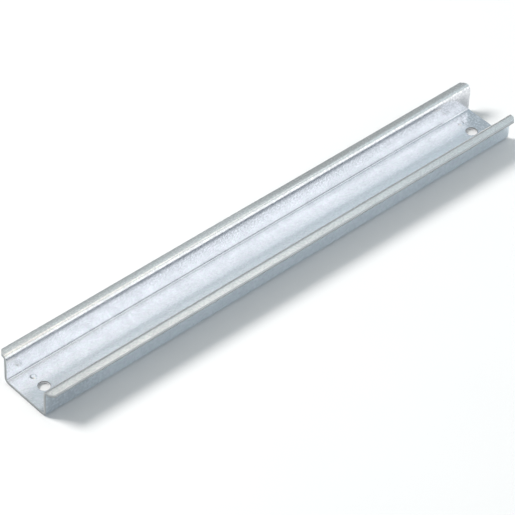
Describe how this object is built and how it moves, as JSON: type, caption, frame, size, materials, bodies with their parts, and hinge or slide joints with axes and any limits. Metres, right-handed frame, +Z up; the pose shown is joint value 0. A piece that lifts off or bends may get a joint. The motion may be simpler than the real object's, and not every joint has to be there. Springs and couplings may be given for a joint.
{
  "type": "din rail",
  "caption": "Hat-section steel mounting rail that switchgear and terminal blocks clip over, cut to length, with a fixing hole and a locating pip near each end.",
  "frame": {"origin": "on the underside, in the middle of the length and the width", "axes": "+X along the rail, +Y across it towards the side with the locating pips, +Z up out of the open side"},
  "size_m": [0.27, 0.035, 0.015],
  "materials": {
    "zinc_coated_steel": "bright zinc coating, semi-gloss"
  },
  "bodies": {
    "root": {"rail": "zinc_coated_steel"}
  },
  "joints": []
}
